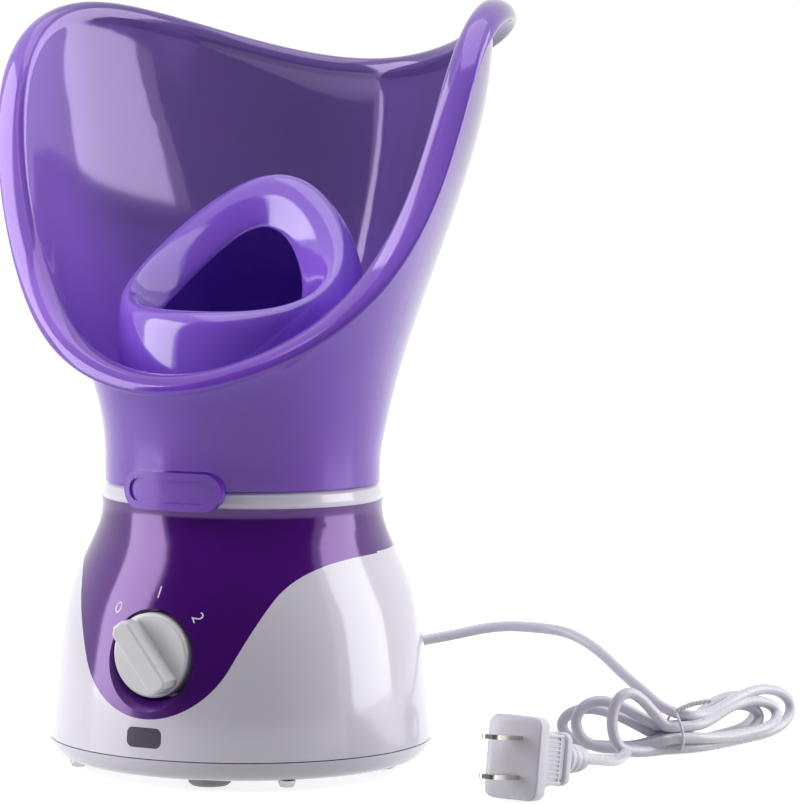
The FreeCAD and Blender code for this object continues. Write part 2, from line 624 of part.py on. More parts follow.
stub = place(cylinder("cord_radius", "belly_radius + gland_length - 46"), "0", "46", "gland_height",
             (1, 0, 0), -90)
piece(stub, "cord_inner_end")
clamp_bar = centred_block("18", "6", "3", "0", "51", "gland_height + cord_radius + 1.5")
clamp_bores = [place(cylinder("screw_radius + 0.2", "10"), x, "51", "gland_height") for x in ("-6", "6")]
piece(cut(clamp_bar, fuse(*clamp_bores)), "cord_clamp")
piece(group([screw("9", x, "51", "gland_height + cord_radius + 3", up=False) for x in ("-6", "6")]),
      "clamp_bar_screws")

# ---------------------------------------------------------------- masks

AROUND = 36  # poles round a mask
SHRINK = (2 + math.cos(2 * math.pi / AROUND)) / 3  # how far a ring of poles draws in


def skin(loops):
    """A closed wall: a smooth skin through rings of poles, with a flat ring where it stands."""
    poles = [[V(*p) for p in column] for column in zip(*loops)]
    count, rows = len(poles), len(loops)
    surface = Part.BSplineSurface()
    surface.buildFromPolesMultsKnots(poles, [1] * (count + 1), [4] + [1] * (rows - 4) + [4],
                                     [float(i) for i in range(count + 1)],
                                     [float(i) for i in range(rows - 2)],
                                     True, False, 3, 3)
    face = surface.toShape()
    rings = [Part.Wire([edge]) for edge in face.Edges if edge.BoundBox.ZLength < 1e-6]
    shell = Part.makeShell([face, Part.makeFace(rings, "Part::FaceMakerBullseye")])
    shell.sewShape()
    solid = Part.makeSolid(shell)
    if solid.Volume < 0:
        solid.reverse()
    return solid


def angles():
    return [2 * math.pi * i / AROUND for i in range(AROUND)]


# The mask's growth with height, as powers of the share of the flare's height: half width, front
# and rear in neck radii, and how far the section's widest place moves to the front.
SIDE = (-0.055, 2.679, -1.918)
FRONT = (0.072, -2.44)
REAR = (2.133, -1.053, -0.178)
EGG = (1.052, -1.316)
# The rim's height over the neck, in shares of the flare: a mean and its waves round the mask.
RIM = (0.7305, -0.4904, -0.1184, 0.101, -0.0068, -0.0116)

seat = size("deck_height + collar_height + seat_gap")
mask_radius, mask_wall, neck_top = size("mask_radius"), size("mask_wall"), seat + size("mask_neck")
flare = size("mask_flare")


def rim_height(a):
    """The rim dips in front, climbs to an ear at each side and eases down at the back."""
    return neck_top + flare * (RIM[0] + sum(c * math.cos(n * a) for n, c in enumerate(RIM[1:], 1)))


def mask_point(z, a, inset=0.0):
    """A point of the face mask's wall: round at the neck, egg-shaped and leaning back above it."""
    rise = max(0.0, (z - neck_top) / flare)
    half = mask_radius - inset + mask_radius * polynomial(SIDE, rise)
    front = -mask_radius + inset + mask_radius * polynomial(FRONT, rise)
    rear = mask_radius - inset + mask_radius * polynomial(REAR, rise)
    egg = polynomial(EGG, rise)
    return (half * math.sin(a) * (1 + egg * math.cos(a)) / SHRINK,
            (front + rear) / 2 - (rear - front) / 2 * math.cos(a) / SHRINK, z)


def polynomial(factors, rise):
    return sum(f * rise ** n for n, f in enumerate(factors, 1))


def outward(z, a):
    """The level direction that points out of the wall."""
    x0, y0, _ = mask_point(z, a - 0.01)
    x1, y1, _ = mask_point(z, a + 0.01)
    length = math.hypot(x1 - x0, y1 - y0)
    return (y1 - y0) / length, -(x1 - x0) / length


def mask_wall_loop(share, inset):
    """A ring of the wall at a share of the way from the neck to just under the lip."""
    return [mask_point(neck_top + (rim_height(a) - 8 - neck_top) * share, a, inset) for a in angles()]


def lip_loop(out, up):
    """A ring of the rolled lip, measured out of the wall and up from the rim."""
    loop = []
    for a in angles():
        z = rim_height(a)
        x, y, _ = mask_point(z, a)
        nx, ny = outward(z, a)
        loop.append((x + nx * out, y + ny * out, z + up))
    return loop


neck_steps = (0, 0.3, 0.65)
wall_steps = (0, 0.17, 0.34, 0.5, 0.66, 0.83, 1)
lip = size("lip_width")
lip_shape = ((0.2, -4.2), (0.28 * lip, -2.8), (0.8 * lip, -4.2), (1.14 * lip, -6.4), (1.26 * lip, -3.2),
             (0.9 * lip, 0.4),
             (0.35 * lip, 1.7), (-0.5 * mask_wall, 1.0), (-1.2 * mask_wall, -3.4))
outside = [[mask_point(seat + (neck_top - seat) * k, a) for a in angles()] for k in neck_steps]
outside += [mask_wall_loop(k, 0) for k in wall_steps]
inner_side = [mask_wall_loop(k, mask_wall) for k in reversed(wall_steps)]
inner_side += [[mask_point(seat + (neck_top - seat) * k, a, mask_wall) for a in angles()]
               for k in reversed(neck_steps)]
mask_shell = shaped(skin(outside + [lip_loop(*spot) for spot in lip_shape] + inner_side), "mask_shell")

# the tab: a racetrack pad at the front of the neck that hooks down over the collar
tab_z = "deck_height + collar_height"


def racetrack(width, height, y, depth):
    """A block with half-round ends, from y towards -Y, at the height of the tab."""
    middle = centred_block("%s - (%s)" % (width, height), depth, height, "0", "%s - %s/2" % (y, depth),
                           tab_z)
    ends = [place(cylinder("(%s)/2" % height, depth), "%s((%s) - (%s))/2" % (side, width, height), y,
                  tab_z, (1, 0, 0), 90)
            for side in ("", "-")]
    return fuse(middle, *ends)


tab_far = "(collar_radius + 0.8)"
pad_block = racetrack("tab_width", "tab_height", "-mask_radius*0.75", "20")
pad_shell = turned([(tab_far, "seat_gap + deck_height + collar_height - tab_height"),
                    (tab_far, "seat_gap + deck_height + collar_height + 0.6"),
                    ("mask_radius - mask_wall/2", "seat_gap + deck_height + collar_height + 0.6"),
                    ("mask_radius - mask_wall/2", "seat_gap + deck_height + collar_height + tab_height"),
                    (tab_far + " + tab_thick - 0.8", "seat_gap + deck_height + collar_height + tab_height"),
                    (tab_far + " + tab_thick - 0.8",
                     "seat_gap + deck_height + collar_height - tab_height")], "pad_shell")
bead_block = cut(racetrack("tab_width", "tab_height", "-mask_radius*0.75", "20"),
                 racetrack("tab_width - 5", "tab_height - 5", "-mask_radius*0.7", "24"))
bead_shell = turned([(tab_far, "seat_gap + deck_height + collar_height - tab_height"),
                     (tab_far, "seat_gap + deck_height + collar_height + tab_height"),
                     (tab_far + " + tab_thick", "seat_gap + deck_height + collar_height + tab_height"),
                     (tab_far + " + tab_thick", "seat_gap + deck_height + collar_height - tab_height")],
                     "bead_shell")
piece(fuse(mask_shell, common(pad_block, pad_shell), common(bead_block, bead_shell)), "face_mask")

nose_radius, nose_wall, nose_top = size("nose_radius"), size("nose_wall"), size("nose_top")


def nose_loop(side, egg, front, rear, front_z, side_z, rear_z):
    """A ring of the nose mask, by its reach to the side, front and rear and its heights there."""
    loop = []
    level, tilt = (front_z + rear_z) / 2, (rear_z - front_z) / 2
    for a in angles():
        x = side * math.sin(a) * (1 + egg * math.cos(a)) / SHRINK
        y = (front + rear) / 2 - (rear - front) / 2 * math.cos(a) / SHRINK
        z = (level + side_z) / 2 - tilt * math.cos(a) + (level - side_z) / 2 * math.cos(2 * a)
        loop.append((x, y, seat + z))
    return loop


def straight_loop(inset, front_z, rear_z):
    radius = nose_radius - inset
    return nose_loop(radius, 0, -radius, radius, front_z, (front_z + rear_z) / 2, rear_z)


top = nose_top  # height of the rear crest over the seat
w = nose_wall
r = nose_radius / 42.8  # the loops' reaches are drawn for a skirt of this radius
nose_loops = [
    straight_loop(0, 0, 0), straight_loop(0, 8, 8), straight_loop(0, 0.26 * top, 0.3 * top),
    straight_loop(0, 0.4 * top, 0.52 * top),
    nose_loop(42.6 * r, 0, -42.2 * r, 39 * r, 0.49 * top, 0.6 * top, 0.74 * top),
    nose_loop(40.6 * r, 0.02, -40.4 * r, 32 * r, 0.55 * top, 0.68 * top, 0.93 * top),
    nose_loop(37.0 * r, 0.05, -36.2 * r, 25 * r, 0.575 * top, 0.71 * top, 1.035 * top),
    nose_loop(31.5 * r, 0.10, -31.8 * r, 18 * r, 0.57 * top, 0.665 * top, 0.985 * top),
    nose_loop(27.0 * r, 0.16, -29.0 * r, 14.6 * r, 0.545 * top, 0.615 * top, 0.885 * top),
    nose_loop(24.8 * r, 0.20, -27.8 * r, 13.8 * r, 0.53 * top, 0.59 * top, 0.84 * top),
    nose_loop(25.4 * r, 0.19, -28.4 * r, 14.8 * r, 0.51 * top, 0.57 * top, 0.825 * top),
    nose_loop(29.5 * r, 0.14, -31.0 * r, 18.5 * r, 0.525 * top, 0.61 * top, 0.90 * top),
    nose_loop(35.2 * r, 0.05, -34.8 * r, 24.0 * r, 0.545 * top, 0.67 * top, 0.98 * top),
    nose_loop(38.6 * r, 0.02, -38.6 * r, 30.4 * r, 0.525 * top, 0.65 * top, 0.90 * top),
    nose_loop(40.6 * r, 0, -40.2 * r, 37 * r, 0.47 * top, 0.58 * top, 0.72 * top),
    straight_loop(w, 0.39 * top, 0.5 * top), straight_loop(w, 0.25 * top, 0.3 * top),
    straight_loop(w, 8, 8),
    straight_loop(w, 0, 0),
]
piece(shaped(skin(nose_loops), "nose_shell"), "nasal_mask")

# ---------------------------------------------------------------- power cord and plug

tip_y = size("belly_radius + gland_length")
cord_low = size("cord_radius")
LEAD = [(0, tip_y, cord_z), (0, 97, cord_z), (6.5, 110, 28.6), (19, 119, 31), (35, 123.5, 34.5),
        (51, 125, 36),
        (67, 122.5, 33.5), (82, 115.5, 27.5), (95, 107, 21), (107, 99, 16), (117.5, 93, 13.5)]
piece(shaped(tube(LEAD, cord_low, "power_cord"), "lead_tube"), "power_cord")

# the hank: three turns tied in the middle, its ends fanned out and standing a little on edge
HANK = (  # x, y, z of the middle, half width, half height, heading in degrees from +X
    (92, 69.5, 12.6, 7, 8, 33), (97, 73, 13, 12, 11, 35), (108, 80.5, 12, 12.5, 11, 40),
    (121.5, 91.5, 9.4, 7, 7.6, 50), (131.5, 116, 11, 8.5, 9.4, 70), (138, 138, 12, 8.5, 10.4, 74),
    (141, 148.5, 12, 5, 7.5, 76))


def hank_ring(x, y, z, half_width, half_height, heading):
    major, minor = max(half_width, half_height), min(half_width, half_height)
    ring = Part.Ellipse(V(0, 0, 0), major, minor).toShape()
    if half_width > half_height:
        ring.rotate(V(0, 0, 0), V(0, 0, 1), 90)
    ring.rotate(V(0, 0, 0), V(0, 1, 0), 90)  # the ring now faces +X, with its height along Z
    ring.rotate(V(0, 0, 0), V(0, 0, 1), heading)
    ring.translate(V(x, y, z))
    return Part.Wire(ring)


hank = Part.makeLoft([hank_ring(*ring) for ring in HANK], True, True)
piece(shaped(hank, "hank_body"), "cord_hank")

TAIL = [(117.3, 24.85, 7.3), (117.8, 34.5, 5.8), (117.4, 44.5, 3.9), (116.2, 54, 2.6), (114, 63.5, 2.1),
        (111.6, 71.5, 2.3),
        (110, 77.5, 3.5)]
piece(shaped(tube(TAIL, cord_low, "cord_tail"), "tail_tube"), "cord_tail")

TIE = V(121.5, 91.5, 10)  # the middle of the tie, which goes round the hank across its heading
heading = V(math.cos(math.radians(50)), math.sin(math.radians(50)), 0)
tie_band = Part.makeTorus(8.6, 0.55, TIE, heading)
TWIST = [(121.5, 91.5, 18), (124, 92.8, 20.2), (128, 95, 21.8), (132, 98, 22.2)]
piece(shaped(tie_band.fuse(tube(TWIST, 1.0)), "tie_wire"), "twist_tie")

# the plug lies on the edge of its face; in its own frame the blades point to -Y and stand one
# above the other
PLUG = FreeCAD.Placement(V(114.0, -23.5, 14.4), FreeCAD.Rotation(V(0, 0, 1),
                                                                 -3.9) * FreeCAD.Rotation(V(1, 0, 0), -8.3))


def plug_slice(wide, tall, y, round_off):
    """A rounded rectangle across the plug's axis."""
    u, v, r = wide / 2, tall / 2, round_off
    corners = [(u - r, -v), (u, -v + r), (u, v - r), (u - r, v), (-u + r, v), (-u, v - r), (-u, -v + r),
               (-u + r, -v)]
    spots = [V(a, y, b) for a, b in corners]
    edges = []
    middles = [(u - r * 0.293, -v + r * 0.293), (u - r * 0.293, v - r * 0.293),
               (-u + r * 0.293, v - r * 0.293),
               (-u + r * 0.293, -v + r * 0.293)]
    for i, (a, b) in enumerate(middles):
        edges.append(Part.Arc(spots[2 * i], V(a, y, b), spots[2 * i + 1]).toShape())
        edges.append(Part.makeLine(spots[2 * i + 1], spots[(2 * i + 2) % 8]))
    return Part.Wire(edges)


def plug_loft(*slices):
    return Part.makeLoft([plug_slice(*s) for s in slices], True, True)


tall, wide, face = size("plug_tall"), size("plug_wide"), size("plug_face")
plug_shape = plug_loft((wide - 1.6, tall - 1.6, 0, 3), (wide, tall, 0.8, 3.5), (wide, tall, face - 1, 3.5),
                       (wide - 1.2, tall - 1.2, face, 3.2))
plug_shape = plug_shape.fuse(plug_loft((wide - 4, tall - 6, face - 1, 3),
                                       (wide - 4.6, tall - 8, face + 7, 3),
                                       (wide - 6.6, tall - 12, face + 17, 3)))
plug_shape = plug_shape.fuse(plug_loft((wide - 4.4, tall - 9.4, face + 17, 3),
                                       (wide - 4.4, tall - 9.4, face + 20.5, 3)))
relief_start = face + 20.5
for i in range(4):
    thick = 5.6 - 0.6 * i
    ridge = Part.makeCone(thick, thick - 0.3, 2.6, V(0, relief_start + 5.6 * i - 0.1, 0), V(0, 1, 0))
    valley = Part.makeCone(thick - 1.5, thick - 1.8, 3.2, V(0, relief_start + 5.6 * i + 2.4, 0), V(0, 1, 0))
    plug_shape = plug_shape.fuse(ridge).fuse(valley)
plug_length = relief_start + 5.6 * 4
plug_shape = plug_shape.cut(Part.makeCylinder(cord_low + 0.05, 4, V(0, plug_length - 3.4, 0), V(0, 1, 0)))
plug = piece(shaped(plug_shape.removeSplitter(), "plug_moulding"), "plug_body")
plug.Placement = PLUG
blades = []
for side in (-1, 1):
    blade = Part.makeBox(size("blade_wide"), size("blade_long"), size("blade_thick"),
                         V(-size("blade_wide") / 2, -size("blade_long"),
                           side * size("blade_gap") / 2 - size("blade_thick") / 2))
    tip_edges = [e for e in blade.Edges
                 if abs(e.BoundBox.YMax + size("blade_long")) < 0.01 and e.BoundBox.ZLength > 1]
    blades.append(blade.makeFillet(1.8, tip_edges))
prongs = piece(shaped(Part.makeCompound(blades), "prongs"), "plug_blades")
prongs.Placement = PLUG

# ---------------------------------------------------------------- checks and files

doc.recompute()
for thing in doc.Objects:
    if "Invalid" in thing.State or "Error" in thing.State:
        raise RuntimeError("%s (%s) is %s" % (thing.Label, thing.Name, thing.State))
for thing in pieces:
    shape = thing.Shape
    if shape.isNull() or not shape.isValid() or not shape.Solids:
        raise RuntimeError("%s has no valid solid" % thing.Label)
os.makedirs("parts", exist_ok=True)
for thing in pieces:
    thing.Shape.exportStep(os.path.join("parts", thing.Label + ".step"))
print("%d sub-parts written" % len(pieces))
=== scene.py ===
import math
import bpy
from mathutils import Matrix, Vector


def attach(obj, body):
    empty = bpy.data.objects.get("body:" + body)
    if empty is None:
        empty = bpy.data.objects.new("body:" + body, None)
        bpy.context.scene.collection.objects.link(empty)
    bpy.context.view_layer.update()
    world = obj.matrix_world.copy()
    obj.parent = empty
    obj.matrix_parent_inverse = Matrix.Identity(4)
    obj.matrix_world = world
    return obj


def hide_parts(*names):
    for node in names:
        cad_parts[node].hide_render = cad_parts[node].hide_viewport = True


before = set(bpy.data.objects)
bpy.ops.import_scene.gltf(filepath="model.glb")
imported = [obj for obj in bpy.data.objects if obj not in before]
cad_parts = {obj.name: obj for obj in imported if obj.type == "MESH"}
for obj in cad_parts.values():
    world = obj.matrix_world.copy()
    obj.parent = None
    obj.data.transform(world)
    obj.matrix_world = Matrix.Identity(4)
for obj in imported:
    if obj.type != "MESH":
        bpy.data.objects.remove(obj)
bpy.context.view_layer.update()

print("frame loaded:", len(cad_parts), "CAD nodes")

mm = 0.001


# small helpers

def dropSelection():
    if bpy.context.object and bpy.context.object.mode != "OBJECT":
        bpy.ops.object.mode_set(mode="OBJECT")
    bpy.ops.object.select_all(action="DESELECT")


def pickOnly(piece):
    dropSelection()
    piece.select_set(True)
    bpy.context.view_layer.objects.active = piece
    return piece


def named(name):
    piece = bpy.context.object
    piece.name = name
    piece.data.name = name
    return piece


def pickFaces(piece, test):
    # leaves the piece in edit mode with only the faces that pass the test
    bpy.ops.object.mode_set(mode="EDIT")
    bpy.ops.mesh.select_mode(type="FACE")
    bpy.ops.mesh.select_all(action="DESELECT")
    bpy.ops.object.mode_set(mode="OBJECT")
    for face in piece.data.polygons:
        face.select = bool(test(face.center, face.normal))
    bpy.ops.object.mode_set(mode="EDIT")


def pickEdges(piece, test):
    # the test gets the edge's middle and its direction
    bpy.ops.object.mode_set(mode="EDIT")
    bpy.ops.mesh.select_mode(type="EDGE")
    bpy.ops.mesh.select_all(action="DESELECT")
    bpy.ops.object.mode_set(mode="OBJECT")
    spots = piece.data.vertices
    for edge in piece.data.edges:
        a, b = (spots[i].co for i in edge.vertices)
        edge.select = bool(test((a + b) / 2, (b - a).normalized()))
    bpy.ops.object.mode_set(mode="EDIT")


def settle(piece, smoothAngle=35):
    # applies the place to the mesh and smooths it
    pickOnly(piece)
    bpy.ops.object.transform_apply(location=True, rotation=True, scale=True)
    bpy.ops.object.shade_smooth_by_angle(angle=math.radians(smoothAngle))
    return piece


def joined(name, parts):
    pickOnly(parts[0])
    for part in parts[1:]:
        part.select_set(True)
    bpy.ops.object.join()
    return named(name)


def block(x, y, z, wide, deep, tall):
    dropSelection()
    bpy.ops.mesh.primitive_cube_add(size=1, location=(0, 0, 0))
    piece = bpy.context.object
    piece.scale = (wide, deep, tall)
    piece.location = (x, y, z)
    bpy.ops.object.transform_apply(location=True, rotation=True, scale=True)
    return piece


def copied(piece, shift):
    pickOnly(piece)
    bpy.ops.object.duplicate(linked=False)
    bpy.ops.object.mode_set(mode="EDIT")
    bpy.ops.mesh.select_all(action="SELECT")
    bpy.ops.transform.translate(value=shift)
    bpy.ops.object.mode_set(mode="OBJECT")
    return bpy.context.object


def lineOf(curve):
    # the spline's own points, read from the curve with no thickness
    depth = curve.data.bevel_depth
    curve.data.bevel_depth = 0
    bpy.context.view_layer.update()
    mesh = bpy.data.meshes.new_from_object(curve.evaluated_get(bpy.context.evaluated_depsgraph_get()))
    points = [v.co.copy() for v in mesh.vertices]
    bpy.data.meshes.remove(mesh)
    curve.data.bevel_depth = depth
    return points


def wireCurve(name, points, radius, sides=5, steps=6, order=3):
    data = bpy.data.curves.new(name, "CURVE")
    data.dimensions = "3D"
    spline = data.splines.new("NURBS")
    spline.points.add(len(points) - 1)
    for spot, point in zip(spline.points, points):
        spot.co = (*point, 1)
    spline.order_u = order
    spline.use_endpoint_u = True
    spline.resolution_u = steps
    data.bevel_depth = radius
    data.bevel_resolution = sides
    data.use_fill_caps = True
    curve = bpy.data.objects.new(name, data)
    bpy.context.scene.collection.objects.link(curve)
    return curve


# the camera

cameraPlace = {"azimuth": 29.5, "distance": 1.3, "height": 0.215, "lens": 171.7,
               "aim": (0.0465, 0.0258, 0.1236), "roll": 0.6}

turn = math.radians(cameraPlace["azimuth"])
cameraData = bpy.data.cameras.new("camera")
camera = bpy.data.objects.new("camera", cameraData)
bpy.context.scene.collection.objects.link(camera)
cameraData.lens = cameraPlace["lens"]
cameraData.sensor_width = 36
cameraData.clip_start = 0.05
cameraData.clip_end = 30
camera.location = (math.sin(turn) * cameraPlace["distance"], -math.cos(turn) * cameraPlace["distance"],
                   cameraPlace["height"])
look = (Vector(cameraPlace["aim"]) - camera.location).to_track_quat("-Z", "Y").to_matrix()
camera.rotation_euler = (look @ Matrix.Rotation(math.radians(cameraPlace["roll"]), 3, "Z")).to_euler()
bpy.context.scene.camera = camera
print("camera placed")


# finishes

class Wire:
    # a socket that takes part in sums, each of which adds a Math node
    def __init__(self, finish, socket):
        self.finish = finish
        self.socket = socket

    def sum(self, operation, first, second):
        return self.finish.node("ShaderNodeMath", {"operation": operation}, {0: first, 1: second})

    def __add__(self, other):
        return self.sum("ADD", self, other)

    def __radd__(self, other):
        return self.sum("ADD", other, self)

    def __sub__(self, other):
        return self.sum("SUBTRACT", self, other)

    def __rsub__(self, other):
        return self.sum("SUBTRACT", other, self)

    def __mul__(self, other):
        return self.sum("MULTIPLY", self, other)

    def __rmul__(self, other):
        return self.sum("MULTIPLY", other, self)


class Finish:
    def __init__(self, name):
        self.material = bpy.data.materials.new(name)
        self.material.use_nodes = True
        self.tree = self.material.node_tree
        self.shader = self.tree.nodes["Principled BSDF"]

    def node(self, kind, settings=None, sockets=None, out=0):
        # the settings come first, then each socket gets its value or link
        made = self.tree.nodes.new(kind)
        for key, value in (settings or {}).items():
            if key == "stops":
                ramp = made.color_ramp
                while len(ramp.elements) < len(value):
                    ramp.elements.new(0.5)
                for stop, (at, colour) in zip(ramp.elements, value):
                    stop.position = at
                    stop.color = (*colour, 1)
            else:
                setattr(made, key, value)
        for key, value in (sockets or {}).items():
            self.feed(made.inputs[key], value)
        return Wire(self, made.outputs[out])

    def feed(self, socket, value):
        if isinstance(value, Wire):
            self.tree.links.new(value.socket, socket)
        elif isinstance(value, (tuple, list)) and len(value) == 3 and socket.type == "RGBA":
            socket.default_value = (*value, 1)
        else:
            socket.default_value = value

    def shade(self, **sockets):
        for key, value in sockets.items():
            self.feed(self.shader.inputs[key.replace("_", " ")], value)

    def place(self):
        return self.node("ShaderNodeTexCoord", out=3)

    def noise(self, scale, detail=2, rough=0.5, stretch=(1, 1, 1)):
        spot = self.node("ShaderNodeMapping", {}, {"Vector": self.place(), "Scale": stretch})
        return self.node("ShaderNodeTexNoise", {},
                         {"Vector": spot, "Scale": scale, "Detail": detail, "Roughness": rough})

    def blend(self, share, first, second):
        return self.node("ShaderNodeMix", {"data_type": "RGBA"}, {0: share, 6: first, 7: second}, out=2)

    def bump(self, height, strength, depth):
        return self.node("ShaderNodeBump", {},
                         {"Height": height, "Strength": strength, "Distance": depth})

    def band(self, value, low, high):
        # 0 below low, 1 above high
        return self.node("ShaderNodeMapRange", {"interpolation_type": "SMOOTHSTEP"},
                         {"Value": value, "From Min": low, "From Max": high})

    def axis(self, which):
        return self.node("ShaderNodeSeparateXYZ", {}, {0: self.place()}, out=which)


def mouldedPlastic(name, colour, deep, rough, spread=0.06, coat=0.5, clear=0.0, glow=0.0,
                   grain=0.2, ior=1.5, sheen=(1, 1, 1)):
    # slow drift of tone, fine haze in the gloss, and a very shallow sink ripple
    finish = Finish(name)
    drift = finish.noise(22, 3, 0.55)
    haze = finish.noise(900, 3, 0.6)
    ripple = finish.noise(60, 2, 0.4)
    finish.shade(Base_Color=finish.blend(finish.band(drift, 0.3, 0.7), colour, deep),
                 Roughness=rough + (haze - 0.5) * spread + (drift - 0.5) * spread * 0.6,
                 Normal=finish.bump(ripple + haze * 0.06, grain, 0.0003))
    finish.shader.inputs["Coat Weight"].default_value = coat
    finish.shader.inputs["Coat Roughness"].default_value = 0.04
    finish.shader.inputs["Transmission Weight"].default_value = clear
    finish.shader.inputs["IOR"].default_value = ior
    finish.shader.inputs["Specular Tint"].default_value = (*sheen, 1)
    if glow:
        finish.shader.inputs["Subsurface Weight"].default_value = glow
        finish.shader.inputs["Subsurface Radius"].default_value = (0.006, 0.004, 0.010)
        finish.shader.inputs["Subsurface Scale"].default_value = 1.0
    return finish


def metal(name, colour, rough, streaks, stretch=(1, 1, 1), fine=500):
    finish = Finish(name)
    lines = finish.noise(fine, 4, 0.6, stretch)
    patches = finish.noise(60, 3)
    dull = tuple(c * 0.82 for c in colour)
    finish.shade(Base_Color=finish.blend(finish.band(patches, 0.35, 0.7), colour, dull),
                 Roughness=rough + (lines - 0.5) * streaks + (patches - 0.5) * 0.08,
                 Normal=finish.bump(lines, 0.25, 0.0001))
    finish.shader.inputs["Metallic"].default_value = 1.0
    return finish


# painted shade: the back of the flare takes the darker "back" colour over a short span along Y, so that
# its inside looks shaded
maskLook = {"back": (0.20, 0.13, 0.42), "front": (0.42, 0.22, 0.86), "low": (0.27, 0.06, 0.74),
            "deep": (0.1, 0.05, 0.3), "deepShare": 0.12, "flareFrom": (0.10, 0.20),
            "paintedShadeFrom": (-0.005, 0.03), "clear": 0.45, "rough": 0.08, "coat": 0.25, "ior": 1.65,
            "sheen": (0.78, 0.6, 1.0)}


def violetClear():
    # the mask's colour is paler in front and darkest at the back of its flare, where the darker back is
    # painted shade for the flare's inside seen through the opening; it is also deeper towards the
    # bottom of its neck
    finish = Finish("violetClear")
    height = finish.band(finish.axis(2), *maskLook["flareFrom"])
    drift = finish.noise(16, 3, 0.5)
    haze = finish.noise(700, 3, 0.6)
    # painted shade: towards the back (+Y) the flare darkens to the back colour
    behind = finish.band(finish.axis(1), *maskLook["paintedShadeFrom"])
    flare = finish.blend(behind, maskLook["front"], maskLook["back"])
    tone = finish.blend(height, maskLook["low"], flare)
    deep = finish.blend(maskLook["deepShare"], tone, maskLook["deep"])
    finish.shade(Base_Color=finish.blend(finish.band(drift, 0.3, 0.7), tone, deep),
                 Roughness=maskLook["rough"] + (haze - 0.5) * 0.05,
                 Normal=finish.bump(drift + haze * 0.03, 0.12, 0.0004))
    finish.shader.inputs["Transmission Weight"].default_value = maskLook["clear"]
    finish.shader.inputs["Coat Weight"].default_value = maskLook["coat"]
    finish.shader.inputs["Coat Roughness"].default_value = 0.03
    finish.shader.inputs["IOR"].default_value = maskLook["ior"]
    finish.shader.inputs["Specular Tint"].default_value = (*maskLook["sheen"], 1)
    return finish


finishes = {
    "violetClear": violetClear(),
    "noseViolet": mouldedPlastic("noseViolet", (0.34, 0.14, 0.88), (0.3, 0.12, 0.82), 0.14,
                                 coat=0.6, clear=0.25),
    "deepPurple": mouldedPlastic("deepPurple", (0.075, 0.005, 0.2), (0.06, 0.004, 0.165), 0.12,
                                 coat=0.1, ior=1.75, sheen=(0.78, 0.5, 1.0)),
    "whiteShell": mouldedPlastic("whiteShell", (0.78, 0.75, 0.86), (0.75, 0.72, 0.83), 0.16,
                                 coat=0.5),
    "knobWhite": mouldedPlastic("knobWhite", (0.78, 0.78, 0.81), (0.74, 0.74, 0.77), 0.3,
                                coat=0.25),
    "lensTint": mouldedPlastic("lensTint", (0.07, 0.012, 0.12), (0.055, 0.01, 0.1), 0.08,
                               coat=0.2, clear=0.55),
    "neonGlass": mouldedPlastic("neonGlass", (0.9, 0.7, 0.6), (0.85, 0.6, 0.5), 0.05, coat=0.5,
                                clear=0.8),
    "rubberGrey": mouldedPlastic("rubberGrey", (0.45, 0.45, 0.46), (0.38, 0.38, 0.39), 0.7,
                                 coat=0.0, grain=0.6),
    "silicone": mouldedPlastic("silicone", (0.72, 0.72, 0.68), (0.66, 0.66, 0.62), 0.5, coat=0.0),
    "ceramic": mouldedPlastic("ceramic", (0.66, 0.6, 0.48), (0.58, 0.52, 0.42), 0.6, coat=0.0,
                              grain=0.8),
    "blackPlastic": mouldedPlastic("blackPlastic", (0.02, 0.02, 0.022), (0.03, 0.03, 0.032), 0.4,
                                   coat=0.1, grain=0.5),
    "wireJacket": mouldedPlastic("wireJacket", (0.55, 0.1, 0.05), (0.45, 0.08, 0.04), 0.35,
                                 coat=0.1),
    "cordWhite": mouldedPlastic("cordWhite", (0.72, 0.7, 0.78), (0.68, 0.66, 0.75), 0.28,
                                coat=0.3, glow=0.1),
    "tieWhite": mouldedPlastic("tieWhite", (0.78, 0.78, 0.81), (0.72, 0.72, 0.76), 0.35, coat=0.1),
    "printWhite": mouldedPlastic("printWhite", (0.85, 0.83, 0.92), (0.8, 0.78, 0.88), 0.45,
                                 coat=0.0),
    "aluminium": metal("aluminium", (0.78, 0.79, 0.8), 0.28, 0.18, (1, 1, 12)),
    "steel": metal("steel", (0.62, 0.62, 0.63), 0.34, 0.2),
    "nickel": metal("nickel", (0.72, 0.68, 0.62), 0.16, 0.15, (1, 8, 1)),
}


def paint(piece, name):
    piece.data.materials.clear()
    piece.data.materials.append(finishes[name].material)


finishNodes = {
    "violetClear": ("face_mask",),
    "noseViolet": ("nasal_mask",),
    "deepPurple": ("upper_cover",),
    "whiteShell": ("base_housing", "base_plate", "collar_ring"),
    "knobWhite": ("control_knob",),
    "lensTint": ("indicator_lens",),
    "neonGlass": ("neon_lamp",),
    "rubberGrey": ("rubber_feet",),
    "silicone": ("tank_gasket",),
    "aluminium": ("heating_tank",),
    "ceramic": ("heater_ring", "thermal_fuse"),
    "steel": ("heater_clamp", "clamp_screws", "thermostat", "switch_nut", "switch_shaft",
              "clamp_bar_screws", "base_screws"),
    "blackPlastic": ("rotary_switch", "lamp_holder", "terminal_block", "cord_clamp"),
    "wireJacket": ("internal_wires",),
    "cordWhite": ("cord_strain_relief", "cord_inner_end"),
    "nickel": ("plug_blades",),
}
for finish, nodes in finishNodes.items():
    for node in nodes:
        paint(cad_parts[node], finish)
print("finishes made:", len(finishes))


# the power cord: lead, hank and tail in one spline

